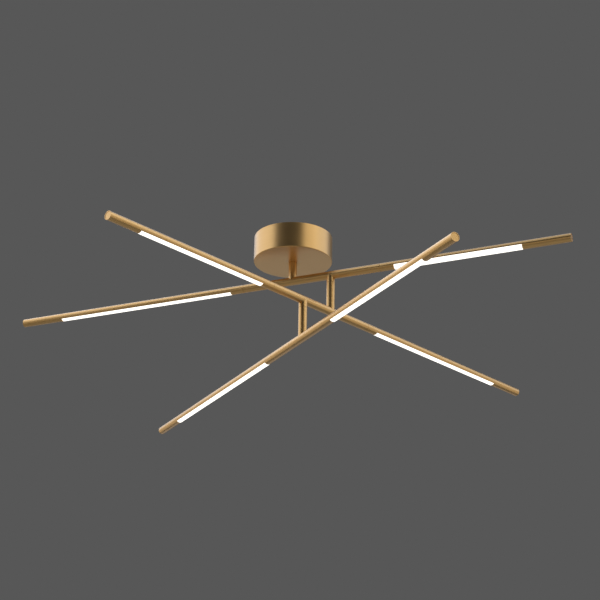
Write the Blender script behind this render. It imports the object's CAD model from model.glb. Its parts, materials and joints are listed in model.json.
import json
import math

import bmesh
import bpy
from mathutils import Matrix, Vector


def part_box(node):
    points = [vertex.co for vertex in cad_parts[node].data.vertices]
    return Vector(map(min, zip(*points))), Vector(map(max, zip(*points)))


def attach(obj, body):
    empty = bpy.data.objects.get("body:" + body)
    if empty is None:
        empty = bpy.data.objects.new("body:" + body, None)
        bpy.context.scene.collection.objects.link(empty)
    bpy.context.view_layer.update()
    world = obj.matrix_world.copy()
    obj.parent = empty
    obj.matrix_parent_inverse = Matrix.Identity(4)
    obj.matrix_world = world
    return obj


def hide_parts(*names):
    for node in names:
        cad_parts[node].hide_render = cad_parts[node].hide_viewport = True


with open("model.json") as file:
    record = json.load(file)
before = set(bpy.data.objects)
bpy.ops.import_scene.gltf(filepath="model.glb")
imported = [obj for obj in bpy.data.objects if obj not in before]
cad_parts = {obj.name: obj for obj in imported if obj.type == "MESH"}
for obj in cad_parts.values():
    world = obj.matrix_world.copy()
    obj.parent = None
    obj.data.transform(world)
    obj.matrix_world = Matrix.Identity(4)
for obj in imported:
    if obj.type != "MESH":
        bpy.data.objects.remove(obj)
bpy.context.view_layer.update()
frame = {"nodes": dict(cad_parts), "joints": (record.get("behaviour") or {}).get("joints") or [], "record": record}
nodes = frame["nodes"]
joints = {joint["name"]: joint for joint in frame["joints"]}
up = Vector((0, 0, 1))
mm = 0.001
print("frame loaded:", len(nodes), "nodes")


# small helpers

def hexLinear(code):  # sRGB hex to linear RGBA
    parts = [int(code[i:i + 2], 16) / 255 for i in (1, 3, 5)]
    return [c / 12.92 if c <= 0.04045 else ((c + 0.055) / 1.055) ** 2.4 for c in parts] + [1.0]


def addNode(tree, kind, links=None, **settings):
    node = tree.nodes.new(kind)
    for key, value in settings.items():
        setattr(node, key, value)
    for key, value in (links or {}).items():
        if isinstance(value, bpy.types.NodeSocket):
            tree.links.new(value, node.inputs[key])
        else:
            node.inputs[key].default_value = value
    return node


def aimed(place, forward, roll=0.0):  # looks along forward, X to the right, turned left by roll degrees
    right = forward.cross(up).normalized()
    top = right.cross(forward).normalized()
    turn = math.radians(roll)
    rightTurned = right * math.cos(turn) + top * math.sin(turn)
    topTurned = top * math.cos(turn) - right * math.sin(turn)
    columns = Matrix((rightTurned, topTurned, -forward)).transposed()
    return Matrix.Translation(place) @ columns.to_4x4()


def direction(azimuth, elevation):  # azimuth 0 is the front, -Y, and grows towards +X
    a, e = math.radians(azimuth), math.radians(elevation)
    return Vector((math.sin(a) * math.cos(e), -math.cos(a) * math.cos(e), math.sin(e)))


# camera, and a plain studio

cameraSettings = {
    "place": (104.3, -1998.4, -941.6),  # mm
    "azimuth": 182.65,  # looks this way
    "pitch": 22.76,
    "roll": 0.98,
    "lens": 85.85,  # mm, on a 36 mm sensor
}
cameraData = bpy.data.cameras.new("camera")
cameraData.lens = cameraSettings["lens"]
cameraData.sensor_width = 36
cameraData.clip_start = 0.05
cameraObject = bpy.data.objects.new("camera", cameraData)
bpy.context.scene.collection.objects.link(cameraObject)
cameraObject.matrix_world = aimed(
    Vector(cameraSettings["place"]) * mm,
    direction(cameraSettings["azimuth"], cameraSettings["pitch"]),
    cameraSettings["roll"],
)
bpy.context.scene.camera = cameraObject
bpy.context.scene.view_settings.view_transform = "Standard"

studio = {
    "backdrop": "#575757",
    "floorDrop": 4000,  # mm below the ceiling
    "floorRadius": 20000,
    "floorTone": "#D8D6D1",
    "card": (-10, 24, 4.6, 8.0, 3.6),  # black card behind the camera: azimuth, elevation, distance, width, height
}
# name: azimuth, elevation, distance, width, height in m, radiance, tint
softboxes = {
    "boxFrontRight": (54, 36, 3.6, 2.6, 2.6, 0.70, "#FFFCF4"),
    "boxRight": (97, 34, 3.6, 2.9, 3.2, 0.76, "#E8EFFF"),
    "boxBackRight": (126, 38, 3.6, 0.9, 2.6, 0.26, "#D6E4FF"),
    "boxLeft": (-95, 33, 3.6, 5.5, 3.4, 0.83, "#ECF1FF"),
    "boxBackLeft": (-146, 36, 3.6, 1.8, 2.6, 0.62, "#D6E4FF"),
    "boxBackTop": (-174, 52, 3.6, 3.4, 1.5, 0.60, "#D6E4FF"),
    "boxTop": (0, 80, 3.0, 4.6, 3.4, 0.50, "#DCE8FF"),
    "boxLowLeft": (-102, -10, 3.8, 7.0, 3.0, 0.35, "#FFF8EC"),
    "boxLowRight": (96, -10, 3.8, 7.0, 3.0, 0.34, "#FFF8EC"),
    "boxLowFront": (-6, -12, 4.4, 7.4, 2.2, 0.24, "#FFF8EC"),
    "boxLowBack": (182, -24, 3.8, 3.2, 1.7, 0.235, "#F0F3FF"),
}
world = bpy.data.worlds.new("studio")
bpy.context.scene.world = world
world.use_nodes = True
world.node_tree.nodes["Background"].inputs["Color"].default_value = hexLinear(studio["backdrop"])

for name, (azimuth, elevation, distance, width, height, radiance, tint) in softboxes.items():
    lamp = bpy.data.lights.new(name, "AREA")
    lamp.shape = "RECTANGLE"
    lamp.size = width
    lamp.size_y = height
    lamp.energy = 4 * width * height * radiance  # watts, from the radiance of its face
    lamp.color = hexLinear(tint)[:3]
    lampObject = bpy.data.objects.new(name, lamp)
    bpy.context.scene.collection.objects.link(lampObject)
    away = direction(azimuth, elevation)
    lampObject.matrix_world = aimed(away * distance, -away)
    lampObject.visible_camera = False
print("camera and studio done")


# materials

def newMaterial(name, surface):  # surface holds the shader's own settings
    material = bpy.data.materials.new(name)
    material.use_nodes = True
    tree = material.node_tree
    tree.nodes.clear()
    shader = addNode(tree, "ShaderNodeBsdfPrincipled", surface)
    addNode(tree, "ShaderNodeOutputMaterial", {"Surface": shader.outputs["BSDF"]})
    return material, tree, shader


def mottle(tree, shader, vector, colours, roughness, size, bump=None):
    # two close colours and a range of roughness over one noise, size in metres
    scale = addNode(tree, "ShaderNodeMapping", {"Vector": vector, "Scale": [1 / s for s in size]})
    noise = addNode(tree, "ShaderNodeTexNoise", {"Vector": scale.outputs["Vector"], "Scale": 1.0, "Detail": 3.0})
    blend = addNode(tree, "ShaderNodeMix", {"Factor": noise.outputs["Fac"]}, data_type="RGBA")
    blend.inputs[6].default_value = hexLinear(colours[0])
    blend.inputs[7].default_value = hexLinear(colours[1])
    tree.links.new(blend.outputs[2], shader.inputs["Base Color"])
    rough = addNode(tree, "ShaderNodeMapRange", {
        "Value": noise.outputs["Fac"], "From Min": 0.3, "From Max": 0.7,
        "To Min": roughness[0], "To Max": roughness[1]})
    tree.links.new(rough.outputs["Result"], shader.inputs["Roughness"])
    if bump:
        relief = addNode(tree, "ShaderNodeBump", {
            "Height": noise.outputs["Fac"], "Strength": bump[0], "Distance": bump[1]})
        tree.links.new(relief.outputs["Normal"], shader.inputs["Normal"])
    return noise


def grainVector(tree):
    return addNode(tree, "ShaderNodeUVMap", uv_map="grain").outputs["UV"]


def objectVector(tree):
    return addNode(tree, "ShaderNodeTexCoord").outputs["Object"]


# Gold anodised aluminium, brushed fine and then anodised: soft streaks that follow
# the tubes, and rings round the spun canopy. Real brush lines are about 0.05 mm
# apart and would not show, so they are drawn about 1 mm apart and very shallow.
# The clear oxide layer over the dye pales the highlights a little, most at the edges.
goldAnodised, goldTree, goldShader = newMaterial("goldAnodisedAluminium", {
    "Metallic": 1.0, "Coat Weight": 0.7, "Coat Roughness": 0.35, "Coat IOR": 1.65})
mottle(goldTree, goldShader, grainVector(goldTree), ("#E7BA72", "#E0B168"), (0.31, 0.38),
       (0.16, 0.0011, 1.0), (0.25, 0.000002))

# Opal polycarbonate, extruded: milky and even, so the chips behind don't show. Lit.
opalPolycarbonate, opalTree, opalShader = newMaterial("opalPolycarbonate", {
    "IOR": 1.585, "Emission Color": hexLinear("#FFFBF2"), "Emission Strength": 1.5})
mottle(opalTree, opalShader, objectVector(opalTree), ("#F6F4EE", "#F1EFE8"), (0.30, 0.36),
       (0.004, 0.004, 0.004))

# White solder mask over glass fibre board: satin, with a faint weave of the cloth
solderMask, maskTree, maskShader = newMaterial("solderMaskWhite", {"IOR": 1.5})
mottle(maskTree, maskShader, objectVector(maskTree), ("#F3F2EC", "#E9E8E0"), (0.30, 0.42),
       (0.0009, 0.0009, 0.0009), (0.2, 0.00002))

# Yellow phosphor in silicone, over each chip
phosphor, phosphorTree, phosphorShader = newMaterial("phosphorSilicone", {"IOR": 1.41})
mottle(phosphorTree, phosphorShader, objectVector(phosphorTree), ("#E8C23A", "#DDB22C"), (0.35, 0.45),
       (0.0006, 0.0006, 0.0006))

# Bright zinc plated steel: pale and slightly blue, with rolling streaks under the plating
zincPlated, zincTree, zincShader = newMaterial("zincPlatedSteel", {"Metallic": 1.0})
mottle(zincTree, zincShader, objectVector(zincTree), ("#C9CBCD", "#B7B9BC"), (0.30, 0.40),
       (0.020, 0.0012, 0.0012), (0.2, 0.00001))

# Phosphated spring steel: dark grey and nearly matt
springSteel, springTree, springShader = newMaterial("phosphatedSpringSteel", {"Metallic": 1.0})
mottle(springTree, springShader, objectVector(springTree), ("#5B5D60", "#4A4C4F"), (0.42, 0.55),
       (0.0012, 0.0012, 0.0012))

# Turned brass, not lacquered: warm, with fine tool rings
turnedBrass, brassTree, brassShader = newMaterial("turnedBrass", {"Metallic": 1.0})
mottle(brassTree, brassShader, objectVector(brassTree), ("#E0BC72", "#CDA75C"), (0.20, 0.32),
       (0.010, 0.010, 0.0006), (0.3, 0.00001))

# Polycarbonate, injection moulded with a spark eroded texture: white and matt
mouldedPolycarbonate, caseTree, caseShader = newMaterial("mouldedPolycarbonate", {"IOR": 1.585})
mottle(caseTree, caseShader, objectVector(caseTree), ("#E9E8E3", "#E1E0DA"), (0.48, 0.60),
       (0.0007, 0.0007, 0.0007), (0.5, 0.00004))

# Polyamide, injection moulded: pale grey, waxy
mouldedPolyamide, blockTree, blockShader = newMaterial("mouldedPolyamide", {"IOR": 1.53})
mottle(blockTree, blockShader, objectVector(blockTree), ("#CDD1D3", "#C3C7C9"), (0.38, 0.50),
       (0.0015, 0.0015, 0.0015), (0.3, 0.00003))

# Silicone rubber lead jacket: soft, off white, dusty sheen
siliconeJacket, leadTree, leadShader = newMaterial("siliconeJacket", {"IOR": 1.41})
mottle(leadTree, leadShader, objectVector(leadTree), ("#DEDACB", "#D3CFC0"), (0.50, 0.62),
       (0.0020, 0.0020, 0.0020))

# Painted studio floor
floorPaint, floorTree, floorShader = newMaterial("paleFloorPaint", {"IOR": 1.45})
mottle(floorTree, floorShader, objectVector(floorTree), (studio["floorTone"], "#D2D0CB"), (0.7, 0.8),
       (0.8, 0.8, 0.8))

# Black card, matt: gives the dark band down upright round parts
cardPaper, cardTree, cardShader = newMaterial("blackCard", {"IOR": 1.45})
mottle(cardTree, cardShader, objectVector(cardTree), ("#101010", "#141414"), (0.8, 0.9), (0.5, 0.5, 0.5))

floorMesh = bpy.data.meshes.new("floor")
floorEdge = [direction(azimuth, 0) * studio["floorRadius"] * mm for azimuth in range(0, 360, 4)]
floorMesh.from_pydata(
    [(point.x, point.y, -studio["floorDrop"] * mm) for point in floorEdge], [], [range(len(floorEdge))])
floorMesh.materials.append(floorPaint)
floor = bpy.data.objects.new("floor", floorMesh)
bpy.context.scene.collection.objects.link(floor)
azimuth, elevation, distance, width, height = studio["card"]
cardPlace = aimed(direction(azimuth, elevation) * distance, -direction(azimuth, elevation))
cardMesh = bpy.data.meshes.new("card")
cardMesh.from_pydata(
    [cardPlace @ Vector((x * width / 2, y * height / 2, 0)) for x, y in ((-1, -1), (1, -1), (1, 1), (-1, 1))],
    [], [(0, 1, 2, 3)])
cardMesh.materials.append(cardPaper)
card = bpy.data.objects.new("card", cardMesh)
bpy.context.scene.collection.objects.link(card)
card.visible_camera = False
card.visible_diffuse = False
card.visible_shadow = False
print("materials done")


# mesh builders: points in a piece's own frame in mm, and a grain coordinate in metres

class Shell:
    def __init__(self):
        self.points, self.faces, self.grain = [], [], []

    def ring(self, points):
        self.points += points
        return range(len(self.points) - len(points), len(self.points))

    def face(self, corners, grain):
        self.faces.append(corners)
        self.grain.append(grain)

    def strip(self, ringA, ringB, uA, uB, vs, columns=None):  # vs has one value more than the ring
        count = len(ringA)
        for k in (columns if columns is not None else range(count)):
            n = (k + 1) % count
            self.face((ringA[k], ringA[n], ringB[n], ringB[k]),
                      ((uA, vs[k]), (uA, vs[k + 1]), (uB, vs[k + 1]), (uB, vs[k])))

    def fan(self, ring, pole, u, vs):
        count = len(ring)
        for k in range(count):
            n = (k + 1) % count
            middle = (vs[k] + vs[k + 1]) / 2
            self.face((ring[k], ring[n], pole), ((u, vs[k]), (u, vs[k + 1]), (0, middle)))

    def mesh(self, name, place, across=False):  # across turns the grain round the piece
        mesh = bpy.data.meshes.new(name)
        mesh.from_pydata([place @ (Vector(p) * mm) for p in self.points], [], self.faces)
        layer = mesh.uv_layers.new(name="grain")
        for polygon, grain in zip(mesh.polygons, self.grain):
            for loop, (u, v) in zip(polygon.loop_indices, grain):
                layer.data[loop].uv = (v * mm, u * mm) if across else (u * mm, v * mm)
        shape = bmesh.new()
        shape.from_mesh(mesh)
        bmesh.ops.recalc_face_normals(shape, faces=shape.faces)
        shape.to_mesh(mesh)
        shape.free()
        return mesh


def turned(name, place, profileAt, angles, radius, across=False, poles=False):
    # profileAt(angle) gives (radius, height) pairs; with poles, its first and last lie on the axis
    shell = Shell()
    profiles = [profileAt(a) for a in angles]
    vs = [math.radians(a) * radius for a in angles] + [math.radians(angles[0] + 360) * radius]
    count = len(profiles[0])
    run = [0.0]
    for k in range(1, count + 1):
        a, b = profiles[0][k - 1], profiles[0][k % count]
        run.append(run[-1] + math.dist(a, b))
    rings = []
    for k in range(count):
        if poles and k in (0, count - 1):
            shell.points.append((0, 0, profiles[0][k][1]))
            rings.append(len(shell.points) - 1)
        else:
            rings.append(shell.ring([
                (profile[k][0] * math.cos(math.radians(a)), profile[k][0] * math.sin(math.radians(a)), profile[k][1])
                for a, profile in zip(angles, profiles)]))
    for k in range(count if not poles else count - 1):
        a, b = rings[k], rings[(k + 1) % count]
        if isinstance(a, int):
            shell.fan(b, a, run[k + 1], vs)
        elif isinstance(b, int):
            shell.fan(a, b, run[k], vs)
        else:
            shell.strip(a, b, run[k], run[k + 1], vs)
    return shell.mesh(name, place, across)


def prism(name, place, outline, start, end):  # an outline in Y and Z, run along X
    shell = Shell()
    around = [0.0]
    for k in range(len(outline)):
        around.append(around[-1] + math.dist(outline[k], outline[(k + 1) % len(outline)]))
    ringA = shell.ring([(start, y, z) for y, z in outline])
    ringB = shell.ring([(end, y, z) for y, z in outline])
    shell.strip(ringA, ringB, start, end, around)
    for ring in (ringA, ringB):
        shell.face(tuple(ring), tuple((y, z) for y, z in outline))
    return shell.mesh(name, place)


def steps(start, end, count):
    return [start + (end - start) * k / count for k in range(count + 1)]


def roundOff(mesh, axisFrame):  # exact normals on the faces that run round the frame's Z
    origin, axis = axisFrame.translation, axisFrame.to_3x3().col[2].normalized()
    normals = [Vector()] * len(mesh.loops)  # a zero one keeps the ordinary normal
    for polygon in mesh.polygons:
        offset = polygon.center - origin
        radial = (offset - axis * offset.dot(axis)).normalized()
        facing = polygon.normal.dot(radial)
        if abs(polygon.normal.dot(axis)) > 0.02 or abs(facing) < 0.99:
            continue
        for loop in polygon.loop_indices:
            offset = mesh.vertices[mesh.loops[loop].vertex_index].co - origin
            radial = (offset - axis * offset.dot(axis)).normalized()
            normals[loop] = radial if facing > 0 else -radial
    mesh.normals_split_custom_set(normals)


def finished(name, mesh, material, body, replaced, bevel=0.0, segments=2, holes=(), axis=None):
    piece = bpy.data.objects.new(name, mesh)
    bpy.context.scene.collection.objects.link(piece)
    if material:
        mesh.materials.append(material)
    if not axis:
        for polygon in mesh.polygons:
            polygon.use_smooth = True
        mesh.set_sharp_from_angle(angle=math.radians(35))
    for hole in holes:
        cut = piece.modifiers.new("hole", "BOOLEAN")
        cut.object = hole
        cut.operation = "DIFFERENCE"
        cut.solver = "EXACT"
    if bevel:
        edge = piece.modifiers.new("edge", "BEVEL")
        edge.width = bevel * mm
        edge.segments = segments
        edge.limit_method = "ANGLE"
        edge.angle_limit = math.radians(35)
        edge.use_clamp_overlap = True
        if not axis:  # keeps broad flat faces flat beside their broken edges
            weigh = piece.modifiers.new("weigh", "WEIGHTED_NORMAL")
            weigh.weight = 100
            weigh.keep_sharp = True
    if piece.modifiers:
        ready = piece.evaluated_get(bpy.context.evaluated_depsgraph_get())
        made = bpy.data.meshes.new_from_object(ready)
        piece.modifiers.clear()
        piece.data = made
    for hole in holes:
        bpy.data.objects.remove(hole)
    if axis:
        for polygon in piece.data.polygons:
            polygon.use_smooth = True
        piece.data.set_sharp_from_angle(angle=math.radians(35))
        roundOff(piece.data, axis)
    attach(piece, body)
    if replaced:
        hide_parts(*replaced)
    return piece


def drill(place, radius, depth=9):  # a cutter along the place's own Z, from its origin, past any tube's wall
    mesh = turned("drill", place, lambda a: [(0, 0), (radius, 0), (radius, depth), (0, depth)],
                  steps(0, 360, 32)[:-1], radius, poles=True)
    cutter = bpy.data.objects.new("drill", mesh)
    bpy.context.scene.collection.objects.link(cutter)
    cutter.hide_render = True
    return cutter


def span(node, origin, axis):  # how far a CAD node reaches along an axis from a point, in mm
    reach = [(v.co - origin).dot(axis) / mm for v in nodes[node].data.vertices]
    return min(reach), max(reach)


def frameOf(origin, along, top):  # a frame with X along, and Z near top
    side = top.cross(along).normalized()
    return Matrix.Translation(origin) @ Matrix((along, side, along.cross(side))).transposed().to_4x4()


alongZ = Matrix.Rotation(math.radians(90), 4, "Y")  # lays a turned piece's axis along X
around = steps(0, 360, 96)[:-1]  # the points round a tube

# canopy: spun drum, open at the ceiling

canopySettings = {
    "wall": 1.5,  # mm, as are the rest
    "edge": 0.8,  # radius of the spun corner
    "rim": 4.0,  # band beside the corner
    "hole": 6.0,
    "screwHole": 2.05,
    "screwZ": -8.0,
    "round": 192,  # points round the drum
}
low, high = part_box("canopy")
canopyRadius, canopyHeight = (high.x - low.x) / 2 / mm, (high.z - low.z) / mm


def canopyProfile(angle):
    edge, wall, hole = canopySettings["edge"], canopySettings["wall"], canopySettings["hole"]
    bottom, inner = -canopyHeight, canopyRadius - wall
    rim = [(canopyRadius - edge + edge * math.cos(math.radians(t)), bottom + edge + edge * math.sin(math.radians(t)))
           for t in steps(0, -90, 6)]
    floorRings = [(r, bottom) for r in steps(canopyRadius - edge - canopySettings["rim"], hole, 5)]
    return [(inner, 0), (canopyRadius, 0)] + rim + floorRings + [(hole, bottom + wall), (inner, bottom + wall)]


screwPlace = Matrix.Translation(((canopyRadius - 5) * mm, 0, canopySettings["screwZ"] * mm)) @ alongZ
screwAxis = [Matrix.Rotation(turn, 4, "Z") @ screwPlace for turn in (0, math.pi)]
drumAngles = steps(0, 360, canopySettings["round"])[:-1]
drum = turned("canopyDrum", Matrix(), canopyProfile, drumAngles, canopyRadius, across=True)
finished("canopyDrum", drum, goldAnodised, "ceiling_mount", ["canopy"], bevel=0.15, axis=Matrix(),
         holes=[drill(place, canopySettings["screwHole"], 10) for place in screwAxis])

# bush under the canopy, and saddles under arms 1 and 2: each has a sunk track for a stop lug

trackSettings = {"inner": 4.1, "outer": 5.25, "depth": 1.5, "web": 8.0, "bore": 3.55}


def trackAngles(count):  # the web that stops the lug lies on the -X side
    web = trackSettings["web"]
    return steps(-180 + web, 180 - web, count) + steps(180 - web, 180 + web, 4)


def trackFoot(index, count, foot):  # the underside from the bore out, with the track in it
    depth = trackSettings["depth"] if index <= count else 0.0
    inner, outer = trackSettings["inner"], trackSettings["outer"]
    return [(trackSettings["bore"], foot), (inner, foot), (inner, foot + depth), (outer, foot + depth), (outer, foot)]


bushSettings = {"flange": 1.0, "body": 5.97}
low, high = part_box("canopy_bush")
tubeRadius = (high.x - low.x) / 2 / mm
bushPlace = Matrix.Translation((0, 0, low.z))
bushTop = (high.z - low.z) / mm


def withTrack(name, place, rest, count=88):
    # like turned(), for a piece whose profile steps at the web's two sides
    angles = trackAngles(count)
    shell = Shell()
    profiles = [trackFoot(k, count, rest["foot"]) + rest["upper"](a) for k, a in enumerate(angles)]
    vs = [math.radians(a) * tubeRadius for a in angles] + [math.radians(angles[0] + 360) * tubeRadius]
    rings = [shell.ring([
        (p[k][0] * math.cos(math.radians(a)), p[k][0] * math.sin(math.radians(a)), p[k][1])
        for a, p in zip(angles, profiles)]) for k in range(len(profiles[0]))]
    for k in range(len(rings)):
        shell.strip(rings[k], rings[(k + 1) % len(rings)], k * 2.0, k * 2.0 + 2.0, vs)
    mesh = shell.mesh(name, place)
    shape = bmesh.new()
    shape.from_mesh(mesh)
    bmesh.ops.remove_doubles(shape, verts=shape.verts, dist=0.002 * mm)
    bmesh.ops.dissolve_degenerate(shape, edges=shape.edges, dist=0.001 * mm)
    bmesh.ops.recalc_face_normals(shape, faces=shape.faces)
    shape.to_mesh(mesh)
    shape.free()
    return mesh


bushMesh = withTrack("bush", bushPlace, {"foot": 0.0, "upper": lambda a: [
    (tubeRadius, 0), (tubeRadius, bushSettings["flange"]), (bushSettings["body"], bushSettings["flange"]),
    (bushSettings["body"], bushTop), (trackSettings["bore"], bushTop)]})
finished("bush", bushMesh, goldAnodised, "ceiling_mount", ["canopy_bush"], axis=bushPlace)
print("canopy done")

# arms: posts, saddles and centre tubes

postSettings = {"wall": 1.0, "fit": 0.03, "trim": 1.2, "edge": 0.12}
saddleSettings = {"spigot": 5.1, "spigotTop": 2.6}
armSettings = {"wall": 1.0, "wireHole": 4.4, "saddleHole": 5.13, "edge": 0.12}
postNodes = ["stem", "post_1", "post_2"]
innerRadius = tubeRadius - postSettings["wall"]


def copeHeight(radius, angle, fit, trim):  # height of the arm's surface under a point of a post's wall
    reach = tubeRadius + fit
    return math.sqrt(max(reach ** 2 - (radius * math.sin(math.radians(angle))) ** 2, trim ** 2))


arms = []
for number in (1, 2, 3):
    swivel = Vector(joints[f"arm_{number}_swivel"]["pos_m"])
    along = Vector(joints[f"head_{number}b_twist"]["axis"]).normalized()
    low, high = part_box(f"arm_{number}_tube")
    origin = Vector((swivel.x, swivel.y, (low.z + high.z) / 2))
    arms.append({"number": number, "body": f"arm_{number}", "place": frameOf(origin, along, up),
                 "origin": origin, "along": along})

for arm in arms:
    number, place = arm["number"], arm["place"]
    start, end = span(f"arm_{number}_tube", arm["origin"], arm["along"])
    tubeMesh = turned(f"armTube{number}", place @ alongZ, lambda a: [
        (innerRadius, start), (tubeRadius, start), (tubeRadius, end), (innerRadius, end)], around, tubeRadius)
    holes = [drill(place, armSettings["wireHole"])]
    if number < 3:
        nextSwivel = Vector(joints[f"arm_{number + 1}_swivel"]["pos_m"])
        nextAt = (nextSwivel - arm["origin"]).dot(arm["along"])
        saddlePlace = place @ Matrix.Translation((nextAt, 0, 0))
        holes.append(drill(saddlePlace @ Matrix.Rotation(math.pi, 4, "X"), armSettings["saddleHole"]))
        foot = (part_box(f"arm_{number}_saddle")[0].z - arm["origin"].z) / mm
        heading = math.degrees(math.atan2(arm["along"].y, arm["along"].x))
        upright = Matrix.Translation(saddlePlace.translation)

        def saddleUpper(angle, foot=foot, heading=heading):
            spigot, top = saddleSettings["spigot"], -saddleSettings["spigotTop"]
            cope = -copeHeight(tubeRadius, angle - heading, postSettings["fit"], postSettings["trim"])
            shoulder = -copeHeight(spigot, angle - heading, postSettings["fit"], postSettings["trim"])
            return [(tubeRadius, foot), (tubeRadius, cope), (spigot, shoulder), (spigot, top),
                    (trackSettings["bore"], top)]

        finished(f"armSaddle{number}", withTrack(f"armSaddle{number}", upright, {"foot": foot, "upper": saddleUpper}),
                 goldAnodised, arm["body"], [f"arm_{number}_saddle"], axis=upright)
    finished(f"armTube{number}", tubeMesh, goldAnodised, arm["body"],
             [f"arm_{number}_tube"], bevel=armSettings["edge"], holes=holes, axis=place @ alongZ)

    post = postNodes[number - 1]
    top = (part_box(post)[1].z - arm["origin"].z) / mm

    def postProfile(angle, top=top):
        outer = copeHeight(tubeRadius, angle, postSettings["fit"], postSettings["trim"])
        inner = copeHeight(innerRadius, angle, postSettings["fit"], postSettings["trim"])
        return [(innerRadius, inner), (tubeRadius, outer), (tubeRadius, top), (innerRadius, top)]

    finished(f"post{number}", turned(f"post{number}", place, postProfile, around, tubeRadius),
             goldAnodised, arm["body"], [post], bevel=postSettings["edge"], axis=place)
print("arms done")

# lit heads: slotted tube, opal cover, board with chips, plug

headSettings = {"slotHalf": 49.0, "gap": 0.12, "screwAt": 8.0, "screwHole": 1.55, "edge": 0.12}
coverSettings = {
    "half": 48.4,  # degrees, of the part that fills the slot
    "flangeHalf": 68.0,  # degrees, of the flange held behind the wall
    "flangeRadius": 5.27,
    "inner": 4.8,
    "edge": 0.06,
}
boardSettings = {
    "width": 9.2,
    "thick": 1.2,
    "z": 1.2,  # its lit face above the tube's axis
    "pitch": 16.5,  # chip to chip
    "chip": (3.5, 2.8, 0.7),
    "window": (2.6, 2.0),
    "pad": (1.8, 2.4, 0.08),
    "padSide": 2.6,  # each row of pads from the board's middle
}
plugSettings = {
    "radius": 5.32,
    "face": 3.0,  # from the tube's end to the plug's inner face
    "recess": 0.35,
    "depth": 10.0,
    "skirt": 4.15,
    "edge": 0.2,
}


def slottedTube(name, place, start, slotStart, slotEnd, end):
    shell = Shell()
    slotHalf = headSettings["slotHalf"]
    solid, open_ = 72, 24
    angles = steps(-90 + slotHalf, 270 - slotHalf, solid) + steps(270 - slotHalf, 270 + slotHalf, open_)[1:-1]
    vs = [math.radians(a) * tubeRadius for a in angles] + [math.radians(270 + slotHalf) * tubeRadius]
    rings = {}
    for radius in (tubeRadius, innerRadius):
        for x in (start, slotStart, slotEnd, end):
            rings[radius, x] = shell.ring([
                (x, radius * math.cos(math.radians(a)), radius * math.sin(math.radians(a))) for a in angles])
    wallColumns, slotColumns = range(solid), range(solid, len(angles))
    for radius in (tubeRadius, innerRadius):
        shell.strip(rings[radius, start], rings[radius, slotStart], start, slotStart, vs)
        shell.strip(rings[radius, slotStart], rings[radius, slotEnd], slotStart, slotEnd, vs, wallColumns)
        shell.strip(rings[radius, slotEnd], rings[radius, end], slotEnd, end, vs)
    for x, columns in ((start, None), (end, None), (slotStart, slotColumns), (slotEnd, slotColumns)):
        shell.strip(rings[tubeRadius, x], rings[innerRadius, x], x, x + 1, vs, columns)
    for k in (0, solid):  # long walls of the slot
        shell.face((rings[tubeRadius, slotStart][k], rings[tubeRadius, slotEnd][k],
                    rings[innerRadius, slotEnd][k], rings[innerRadius, slotStart][k]),
                   ((slotStart, 0), (slotEnd, 0), (slotEnd, 1), (slotStart, 1)))
    return shell.mesh(name, place)


def coverOutline():
    half, flange = coverSettings["half"], coverSettings["flangeHalf"]
    outer = ([(coverSettings["flangeRadius"], a) for a in steps(-flange, -half, 4)]
             + [(tubeRadius, a) for a in steps(-half, half, 48)]
             + [(coverSettings["flangeRadius"], a) for a in steps(half, flange, 4)])
    inner = [(coverSettings["inner"], a) for a in steps(flange, -flange, 40)]
    return [(r * math.sin(math.radians(a)), -r * math.cos(math.radians(a))) for r, a in outer + inner]


def repeatTree():  # one piece, set out along a line
    tree = bpy.data.node_groups.new("repeatAlongLine", "GeometryNodeTree")
    for label, kind in (("Piece", "NodeSocketObject"), ("Count", "NodeSocketInt"), ("Start", "NodeSocketVector"),
                        ("Pitch", "NodeSocketVector"), ("Finish", "NodeSocketMaterial")):
        tree.interface.new_socket(label, in_out="INPUT", socket_type=kind)
    tree.interface.new_socket("Geometry", in_out="OUTPUT", socket_type="NodeSocketGeometry")
    given = tree.nodes.new("NodeGroupInput").outputs
    line = addNode(tree, "GeometryNodeMeshLine", {
        "Count": given["Count"], "Start Location": given["Start"], "Offset": given["Pitch"]})
    source = addNode(tree, "GeometryNodeObjectInfo", {"Object": given["Piece"]})
    copies = addNode(tree, "GeometryNodeInstanceOnPoints", {
        "Points": line.outputs["Mesh"], "Instance": source.outputs["Geometry"]})
    real = addNode(tree, "GeometryNodeRealizeInstances", {"Geometry": copies.outputs["Instances"]})
    painted = addNode(tree, "GeometryNodeSetMaterial", {
        "Geometry": real.outputs["Geometry"], "Material": given["Finish"]})
    addNode(tree, "NodeGroupOutput", {"Geometry": painted.outputs["Geometry"]})
    return tree


def repeated(tree, template, count, start, pitch, finish):  # the tree's result as a plain mesh
    holder = bpy.data.objects.new("holder", bpy.data.meshes.new("holder"))
    bpy.context.scene.collection.objects.link(holder)
    modifier = holder.modifiers.new("repeat", "NODES")
    modifier.node_group = tree
    values = {"Piece": template, "Count": count, "Start": start, "Pitch": pitch, "Finish": finish}
    for socket in tree.interface.items_tree:
        if socket.in_out == "INPUT":
            modifier[socket.identifier] = values[socket.name]
    ready = holder.evaluated_get(bpy.context.evaluated_depsgraph_get())
    mesh = bpy.data.meshes.new_from_object(ready)
    bpy.data.objects.remove(holder)
    return mesh


def joined(name, parts):  # parts are (mesh, material) pairs in one mesh
    shape = bmesh.new()
    result = bpy.data.meshes.new(name)
    for index, (mesh, material) in enumerate(parts):
        before = len(shape.faces)
        shape.from_mesh(mesh)
        shape.faces.ensure_lookup_table()
        for face in shape.faces[before:]:
            face.material_index = index
        result.materials.append(material)
    shape.to_mesh(result)
    shape.free()
    return result


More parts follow.
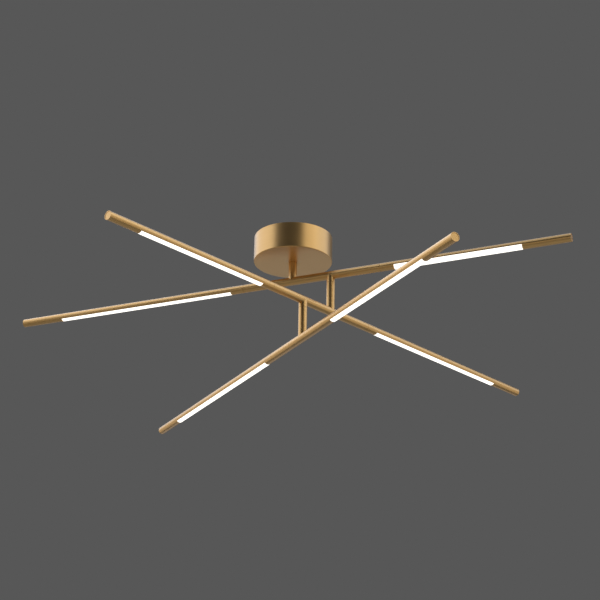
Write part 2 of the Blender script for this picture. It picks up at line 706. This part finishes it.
def blockTemplate(name, length, width, low, high, inset):  # small block, narrower at its lower face
    shell = Shell()
    wide = [(-length / 2, -width / 2), (length / 2, -width / 2), (length / 2, width / 2), (-length / 2, width / 2)]
    top = shell.ring([(x, y, high) for x, y in wide])
    waist = shell.ring([(x, y, low + inset) for x, y in wide])
    scaleX, scaleY = 1 - 2 * inset / length, 1 - 2 * inset / width
    bottom = shell.ring([(x * scaleX, y * scaleY, low) for x, y in wide])
    shell.strip(top, waist, 0, 1, [0, 1, 2, 3, 4])
    shell.strip(waist, bottom, 1, 2, [0, 1, 2, 3, 4])
    for ring in (top, bottom):
        shell.face(tuple(ring), ((0, 0), (1, 0), (1, 1), (0, 1)))
    template = bpy.data.objects.new(name, shell.mesh(name, Matrix()))
    bpy.context.scene.collection.objects.link(template)
    return template


lineTree = repeatTree()
chipX, chipY, chipZ = boardSettings["chip"]
windowX, windowY = boardSettings["window"]
padX, padY, padZ = boardSettings["pad"]
templates = {
    "chip": blockTemplate("chip", chipX, chipY, -chipZ + 0.1, 0, 0.12),
    "window": blockTemplate("window", windowX, windowY, -chipZ, -chipZ + 0.2, 0.05),
    "pad": blockTemplate("pad", padX, padY, -padZ, 0.0, 0.02),
}
alongX = Vector((1, 0, 0))

for arm in arms:
    for side, end in (("a", -1), ("b", 1)):
        label = f"{arm['number']}{side}"
        node = f"head_{label}"
        origin = Vector(joints[f"{node}_twist"]["pos_m"])
        outward = arm["along"] * end
        vertices = [v.co for v in nodes[f"{node}_diffuser"].data.vertices]
        centre = sum(vertices, Vector()) / len(vertices) - origin
        lit = (centre - outward * centre.dot(outward)).normalized()
        place = frameOf(origin, outward, -lit)
        start, finish = span(f"{node}_tube", origin, outward)
        coverStart, coverEnd = span(f"{node}_diffuser", origin, outward)
        gap = headSettings["gap"]

        tubeMesh = slottedTube(f"headTube{label}", place, start, coverStart - gap, coverEnd + gap, finish)
        finished(f"headTube{label}", tubeMesh, goldAnodised, node, [f"{node}_tube"],
                 bevel=headSettings["edge"], axis=place @ alongZ, holes=[drill(
                     place @ Matrix.Translation((headSettings["screwAt"] * mm, 0, 0)), headSettings["screwHole"])])

        finished(f"headCover{label}", prism(f"headCover{label}", place, coverOutline(), coverStart, coverEnd),
                 opalPolycarbonate, node, [f"{node}_diffuser"], bevel=coverSettings["edge"],
                 axis=place @ alongZ)

        width, z, thick = boardSettings["width"], boardSettings["z"], boardSettings["thick"]
        boardStart, boardEnd = span(f"{node}_led_strip", origin, outward)
        outline = [(-width / 2, z), (width / 2, z), (width / 2, z + thick), (-width / 2, z + thick)]
        board = prism(f"headBoard{label}", place, outline, boardStart, boardEnd)
        count = int((boardEnd - boardStart) // boardSettings["pitch"])
        first = boardStart + (boardEnd - boardStart - (count - 1) * boardSettings["pitch"]) / 2
        pitch = alongX * boardSettings["pitch"] * mm
        rows = []
        between, padSide = boardSettings["pitch"] / 2, boardSettings["padSide"]
        for part, material, number, shift in (
                ("chip", solderMask, count, (0, 0)),
                ("window", phosphor, count, (0, 0)),
                ("pad", zincPlated, count - 1, (between, padSide)),
                ("pad", zincPlated, count - 1, (between, -padSide))):
            begin = Vector((first + shift[0], shift[1], z)) * mm
            row = repeated(lineTree, templates[part], number, begin, pitch, material)
            row.transform(place)
            rows.append((row, material))
        finished(f"headBoard{label}", joined(f"headBoard{label}", [(board, solderMask)] + rows), None,
                 node, [f"{node}_led_strip"])

        face, depth = finish - plugSettings["recess"], finish - plugSettings["depth"]
        back, edge, radius = finish - plugSettings["face"], plugSettings["edge"], plugSettings["radius"]
        finished(f"headPlug{label}", turned(f"headPlug{label}", place @ alongZ, lambda a: [
            (0, face), (radius * 0.5, face), (radius - edge, face), (radius, face - edge), (radius, depth),
            (plugSettings["skirt"], depth), (plugSettings["skirt"], back), (0, back)],
            around, radius, across=True, poles=True),
            goldAnodised, node, [f"{node}_cap"])
for template in templates.values():
    bpy.data.objects.remove(template)
print("heads done")

# what is held inside: the CAD shapes with their edges broken

insidePieces = {  # node: piece, material, slot, edge in mm
    "ceiling_plate": ("ceilingPlate", zincPlated, "zinc_steel", 0.25),
    "plate_screws": ("plateScrews", zincPlated, "zinc_steel", 0.12),
    "earth_screw": ("earthScrew", zincPlated, "zinc_steel", 0.12),
    "bush_nut": ("bushNut", zincPlated, "zinc_steel", 0.2),
    "canopy_screws": ("canopyScrews", zincPlated, "zinc_steel", 0.12),
    "driver_case": ("driverCase", mouldedPolycarbonate, "driver_plastic", 0.6),
    "terminal_block": ("terminalBlock", mouldedPolyamide, "terminal_plastic", 0.25),
    "stem_clip": ("stemClip", springSteel, "spring_steel", 0.08),
    "post_1_clip": ("postClip1", springSteel, "spring_steel", 0.08),
    "post_2_clip": ("postClip2", springSteel, "spring_steel", 0.08),
    "stem_spindle": ("stemSpindle", turnedBrass, "turned_brass", 0.08),
    "post_1_spindle": ("postSpindle1", turnedBrass, "turned_brass", 0.08),
    "post_2_spindle": ("postSpindle2", turnedBrass, "turned_brass", 0.08),
    "arm_1_spigots": ("armSpigots1", turnedBrass, "turned_brass", 0.08),
    "arm_2_spigots": ("armSpigots2", turnedBrass, "turned_brass", 0.08),
    "arm_3_spigots": ("armSpigots3", turnedBrass, "turned_brass", 0.08),
}
for number in (1, 2, 3):
    for side in "ab":
        insidePieces[f"head_{number}{side}_screw"] = (f"headScrew{number}{side}", turnedBrass, "gold_screw", 0.06)
bodyOf = {node: body for body, members in frame["record"]["behaviour"]["bodies"].items() for node in members}

for node, (name, material, slot, edge) in insidePieces.items():
    shape = bmesh.new()
    shape.from_mesh(nodes[node].data)
    bmesh.ops.remove_doubles(shape, verts=shape.verts, dist=0.001 * mm)
    bmesh.ops.dissolve_limit(shape, angle_limit=math.radians(0.5), verts=shape.verts, edges=shape.edges)
    mesh = bpy.data.meshes.new(name)
    shape.to_mesh(mesh)
    shape.free()
    finished(name, mesh, material, bodyOf[node], [node], bevel=edge)

for node in ("canopy_leads", "arm_1_leads", "arm_2_leads", "arm_3_leads"):
    nodes[node].material_slots[0].material = siliconeJacket
print("inside pieces done")
